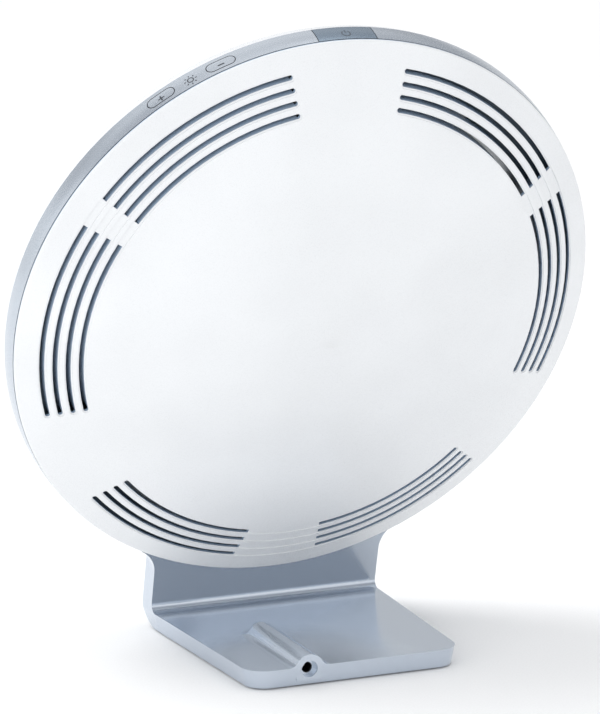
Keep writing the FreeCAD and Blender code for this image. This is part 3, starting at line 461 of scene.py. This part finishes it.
dark_ink = printing_ink("dark_grey_pad_ink", "33383E", "3E444B")
soft_ink = printing_ink("mid_grey_pad_ink", "4A525B", "565F69")
plus_arm = (sign_length - plus_stroke) / 2
plus_arm_middle = (plus_arm + plus_stroke) / 2
plus_strokes = [flat_bar(sign_length, plus_stroke, 0)]
for turn in (math.pi / 2, -math.pi / 2):
    plus_strokes.append(flat_bar(plus_arm, plus_stroke, plus_arm_middle, turn))
print_on_rim("plus_symbol", plus_strokes, plus_angle, "plus_key", "plus_button", dark_ink)
print_on_rim(
    "minus_symbol", [flat_bar(sign_length, minus_stroke, 0)], minus_angle, "minus_key", "minus_button",
    dark_ink,
)
rays = [
    flat_bar(ray_length, sun_stroke, ray_middle, math.tau / sun_rays * index) for index in range(sun_rays)
]
sun_strokes = [flat_ring(sun_ring, sun_stroke)] + rays
print_on_rim("sun_symbol", sun_strokes, sun_angle, "silver_band", "lamp", dark_ink)
print_on_rim(
    "power_symbol",
    [flat_ring(power_ring, power_stroke, power_gap),
     flat_bar(power_bar, power_stroke, power_bar_middle, math.pi / 2)],
    power_angle, "power_key", "power_button", soft_ink,
)

# Stand shell: one bent ABS moulding in the same silver-blue paint as the band, glossier.
# Its saddle carries the head, and the rounded rib at the rear edge covers the power inlet.
wear(
    metallic_paint(
        "silver_blue_stand_paint", "C3CCD8", "CDD6E1", flake_mm=0.3, roughness=0.18, metallic=0.88,
    ),
    "stand_shell",
)

# Closing sheet under the plate and in front of the riser: grey ABS with a fine matt grain,
# left unpainted because it faces the table; it hides the ballast and the supply lead.
wear(
    moulded_plastic("fine_grained_grey_abs", "8B929B", "949BA4", grain_mm=0.6, roughness=0.5, bump=0.5),
    "stand_cover",
)

# Rubber feet: four dark grey silicone discs, moulded with a dull skin and pressed into their seats.
# They keep the stand from sliding and hold the plate just off the table.
wear(
    moulded_plastic(
        "dark_silicone_rubber", "2A2B2D", "343537", grain_mm=0.9, roughness=0.75, bump=0.6, index=1.43,
    ),
    "rubber_feet",
)


# Power inlet: a black nylon barrel in a round recess, with a nickel-plated centre pin deep inside
# and two tinned brass tabs behind, on which the supply lead is soldered.
def plated_metal(name, dark_tone, light_tone, grain_mm, roughness, streak=(1.0, 1.0, 1.0)):
    """Bare or plated metal. Streak stretches its grain, as rolling or brushing does."""
    gloss_spread = 0.08
    made, tree = material(name)
    place = add(tree, "ShaderNodeTexCoord").outputs["Object"]
    drawn = add(
        tree, "ShaderNodeMapping", {"Vector": place}, {"Rotation": (head_tilt, 0, 0), "Scale": streak},
        vector_type="TEXTURE",
    )
    grain = add(
        tree, "ShaderNodeTexNoise", {"Vector": drawn.outputs["Vector"]},
        {"Scale": per_metre / grain_mm, "Detail": 4.0},
    )
    tone = add(tree, "ShaderNodeValToRGB", {"Fac": grain.outputs["Fac"]})
    set_ramp(tone, [(0.3, linear(dark_tone)), (0.7, linear(light_tone))])
    gloss = add(
        tree, "ShaderNodeMapRange", {"Value": grain.outputs["Fac"]},
        {"To Min": roughness - gloss_spread, "To Max": roughness + gloss_spread},
    )
    relief = add(
        tree, "ShaderNodeBump", {"Height": grain.outputs["Fac"]}, {"Strength": 0.1, "Distance": 0.00003},
    )
    body = add(
        tree, "ShaderNodeBsdfPrincipled",
        {"Base Color": tone.outputs["Color"], "Roughness": gloss.outputs["Result"],
         "Normal": relief.outputs["Normal"]},
        {"Metallic": 1.0},
    )
    add(tree, "ShaderNodeOutputMaterial", {"Surface": body.outputs[0]})
    return made


wear(moulded_plastic("black_nylon", "0B0B0C", "141416", grain_mm=0.5, roughness=0.5, bump=0.3), "jack_body")
wear(plated_metal("nickel_plate", "A9A69C", "BDB9AE", grain_mm=0.4, roughness=0.25), "jack_pin")
wear(plated_metal("tinned_brass", "B3B1A8", "C9C7BD", grain_mm=0.3, roughness=0.35), "jack_tabs")

# Rim frame: the glass-filled ABS ring inside the rim that everything in the head is fixed to.
# It is moulded in a dark blue-grey, matt, with short fibres that show as faint flecks.
wear(
    moulded_plastic("glass_filled_grey_abs", "4C5A68", "566472", grain_mm=0.8, roughness=0.6, bump=0.7),
    "rim_frame",
)

# Bracket under the stand screws: a curved strip of zinc-plated spring steel inside the rim frame.
# The stand screws run through it; the fine streaks of rolling lie along its length.
wear(
    plated_metal(
        "zinc_plated_strip", "A7ADB2", "BEC3C7", grain_mm=0.5, roughness=0.35, streak=(12.0, 1.0, 1.0),
    ),
    "stand_bracket",
)

# Diffuser: a disc of opal acrylic that lights up evenly; light soaks a little way into it.
# The reflector behind it is a thermoformed cone of matt white polyester sheet.
opal, tree = material("opal_acrylic")
place = add(tree, "ShaderNodeTexCoord").outputs["Object"]
haze = add(tree, "ShaderNodeTexNoise", {"Vector": place}, {"Scale": 20.0, "Detail": 2.0})
tone = add(tree, "ShaderNodeValToRGB", {"Fac": haze.outputs["Fac"]})
set_ramp(tone, [(0.35, linear("ECEDEC")), (0.65, linear("F5F6F5"))])
body = add(
    tree, "ShaderNodeBsdfPrincipled", {"Base Color": tone.outputs["Color"]},
    {"Roughness": 0.22, "IOR": 1.49, "Subsurface Weight": 0.25, "Subsurface Scale": 0.002},
)
add(tree, "ShaderNodeOutputMaterial", {"Surface": body.outputs[0]})
wear(opal, "diffuser")
wear(
    moulded_plastic("matt_white_polyester", "EDEEEE", "F3F4F4", grain_mm=0.7, roughness=0.7, bump=0.3),
    "reflector",
)


# Light board: an aluminium-core board in white solder mask, with rings of yellow-topped
# light-emitting packages soldered on its printed tracks.
def head_frame(tree):
    """Places in the head's own frame, in metres: Z points out of the lit face."""
    place = add(tree, "ShaderNodeTexCoord").outputs["Object"]
    turned = add(
        tree, "ShaderNodeMapping", {"Vector": place},
        {"Location": head_place.translation, "Rotation": (head_tilt, 0, 0)}, vector_type="TEXTURE",
    )
    return turned.outputs["Vector"]


def circuit_board(name, mask_tone, track_tone, pad_tone, track_mm):
    """A board in solder mask: the tracks show through it as a paler grid, and dots are tinned pads."""
    made, tree = material(name)
    place = head_frame(tree)
    tracks = add(
        tree, "ShaderNodeTexBrick", {"Vector": place},
        {"Scale": 0.2 * per_metre / track_mm, "Mortar Size": 0.03, "Color1": linear(mask_tone),
         "Color2": linear(mask_tone), "Mortar": linear(track_tone)},
    )
    dots = add(tree, "ShaderNodeTexVoronoi", {"Vector": place}, {"Scale": 0.4 * per_metre / track_mm})
    pads = add(tree, "ShaderNodeMath", {0: dots.outputs["Distance"]}, {1: 0.16}, operation="LESS_THAN")
    tone = add(
        tree, "ShaderNodeMix", {"Factor": pads.outputs[0], "A": tracks.outputs["Color"]},
        {"B": linear(pad_tone)}, data_type="RGBA",
    )
    relief = add(
        tree, "ShaderNodeBump", {"Height": tracks.outputs["Fac"]}, {"Strength": 0.3, "Distance": 0.00004},
    )
    body = add(
        tree, "ShaderNodeBsdfPrincipled",
        {"Base Color": tone.outputs["Result"], "Metallic": pads.outputs[0],
         "Normal": relief.outputs["Normal"]},
        {"Roughness": 0.35},
    )
    add(tree, "ShaderNodeOutputMaterial", {"Surface": body.outputs[0]})
    return made


wear(circuit_board("white_mask_board", "EDEEEC", "E2E3E0", "C9C7BF", track_mm=3.0), "led_board")

gel_level = 0.00435
phosphor, tree = material("phosphor_package")
depth = add(tree, "ShaderNodeSeparateXYZ", {"Vector": head_frame(tree)})
lid = add(tree, "ShaderNodeMath", {0: depth.outputs["Z"]}, {1: gel_level}, operation="GREATER_THAN")
place = add(tree, "ShaderNodeTexCoord").outputs["Object"]
speck = add(tree, "ShaderNodeTexNoise", {"Vector": place}, {"Scale": 3000.0})
gel = add(tree, "ShaderNodeValToRGB", {"Fac": speck.outputs["Fac"]})
set_ramp(gel, [(0.35, linear("EFCB45")), (0.65, linear("F6DA66"))])
tone = add(
    tree, "ShaderNodeMix", {"Factor": lid.outputs[0], "B": gel.outputs["Color"]}, {"A": linear("EFECE2")},
    data_type="RGBA",
)
body = add(tree, "ShaderNodeBsdfPrincipled", {"Base Color": tone.outputs["Result"]}, {"Roughness": 0.3})
add(tree, "ShaderNodeOutputMaterial", {"Surface": body.outputs[0]})
wear(phosphor, "leds")

# Heat spreader: a punched disc of rolled aluminium sheet that lies against the back of the light board.
# It is left bare, so its rolling grain shows as fine streaks in one direction.
wear(
    plated_metal(
        "rolled_aluminium", "C3C5C6", "D6D8D9", grain_mm=0.8, roughness=0.38, streak=(1.0, 25.0, 1.0),
    ),
    "heat_spreader",
)

# Driver board and key boards: green glass-epoxy boards. The driver board stands on four nylon spacers
# and carries a copper choke, three sleeved capacitors, two transistors and the lead's socket.
wear(
    circuit_board("green_mask_board", "1F6B43", "2C8052", "C9C7BF", track_mm=1.6),
    "driver_board", "power_key_board", "plus_key_board", "minus_key_board",
)
wear(
    moulded_plastic("natural_nylon", "E3DFD2", "ECE8DC", grain_mm=0.8, roughness=0.45, bump=0.3),
    "board_spacers", "lead_connector",
)
wear(
    moulded_plastic("black_epoxy", "151517", "1D1D20", grain_mm=0.5, roughness=0.55, bump=0.5, index=1.6),
    "power_transistors",
)

winding_middle = -0.0116
winding_reach = 0.0025
choke, tree = material("copper_choke")
depth = add(tree, "ShaderNodeSeparateXYZ", {"Vector": head_frame(tree)})
turns = add(
    tree, "ShaderNodeTexWave", {"Vector": head_frame(tree)}, {"Scale": 630.0, "Distortion": 0.4},
    wave_type="BANDS", bands_direction="Z",
)
wound = add(
    tree, "ShaderNodeMath", {0: depth.outputs["Z"]}, {1: winding_middle, 2: winding_reach},
    operation="COMPARE",
)
wire = add(tree, "ShaderNodeValToRGB", {"Fac": turns.outputs["Fac"]})
set_ramp(wire, [(0.0, linear("6E3A1C")), (1.0, linear("C9814F"))])
tone = add(
    tree, "ShaderNodeMix", {"Factor": wound.outputs[0], "B": wire.outputs["Color"]},
    {"A": linear("26272A")}, data_type="RGBA",
)
relief = add(
    tree, "ShaderNodeBump", {"Height": turns.outputs["Fac"]}, {"Strength": 0.5, "Distance": 0.0002},
)
body = add(
    tree, "ShaderNodeBsdfPrincipled",
    {"Base Color": tone.outputs["Result"], "Metallic": wound.outputs[0], "Normal": relief.outputs["Normal"]},
    {"Roughness": 0.4},
)
add(tree, "ShaderNodeOutputMaterial", {"Surface": body.outputs[0]})
wear(choke, "inductor")

sleeve_end = -0.0193
can, tree = material("sleeved_capacitor")
depth = add(tree, "ShaderNodeSeparateXYZ", {"Vector": head_frame(tree)})
lid = add(tree, "ShaderNodeMath", {0: depth.outputs["Z"]}, {1: sleeve_end}, operation="LESS_THAN")
place = add(tree, "ShaderNodeTexCoord").outputs["Object"]
film = add(tree, "ShaderNodeTexNoise", {"Vector": place}, {"Scale": 300.0})
sleeve = add(tree, "ShaderNodeValToRGB", {"Fac": film.outputs["Fac"]})
set_ramp(sleeve, [(0.35, linear("1B2230")), (0.65, linear("232C3D"))])
tone = add(
    tree, "ShaderNodeMix", {"Factor": lid.outputs[0], "A": sleeve.outputs["Color"]},
    {"B": linear("C6C8C9")}, data_type="RGBA",
)
body = add(
    tree, "ShaderNodeBsdfPrincipled", {"Base Color": tone.outputs["Result"], "Metallic": lid.outputs[0]},
    {"Roughness": 0.3},
)
add(tree, "ShaderNodeOutputMaterial", {"Surface": body.outputs[0]})
wear(can, "capacitors")

# Key switches: small black PBT housings on the key boards, each with a brown acetal plunger
# that its key pushes; a dome spring inside brings both back.
wear(
    moulded_plastic("black_pbt", "121214", "1A1A1C", grain_mm=0.5, roughness=0.5, bump=0.4),
    "power_switch", "plus_switch", "minus_switch",
)
wear(
    moulded_plastic("brown_acetal", "4A3B30", "554538", grain_mm=0.5, roughness=0.35, bump=0.2),
    "power_plunger", "plus_plunger", "minus_plunger",
)

# Ballast: two flat plates of hot-rolled steel, laid in the stand's hollow on both sides of the lead.
# They are blue-grey with mill scale, in coarse blotches drawn out by rolling.
wear(
    plated_metal(
        "mill_scale_steel", "3F444B", "5A6068", grain_mm=6.0, roughness=0.5, streak=(1.0, 1.0, 4.0),
    ),
    "ballast_plates",
)

# Supply lead: a round two-core lead in matt black PVC, extruded with a slightly uneven skin.
# It is laid through the stand, up the riser and into the head.
wear(
    moulded_plastic("matt_black_pvc", "161617", "202022", grain_mm=1.2, roughness=0.6, bump=0.5),
    "supply_lead",
)

# Screws: bright zinc-plated steel, pan heads. They hold the cover, the light board, the driver board,
# the stand's saddle and its closing sheet.
wear(
    plated_metal("bright_zinc_plate", "B4BABF", "CBD0D4", grain_mm=0.3, roughness=0.28),
    "cover_screws", "ear_screws", "board_screws", "stand_screws", "base_screws",
)
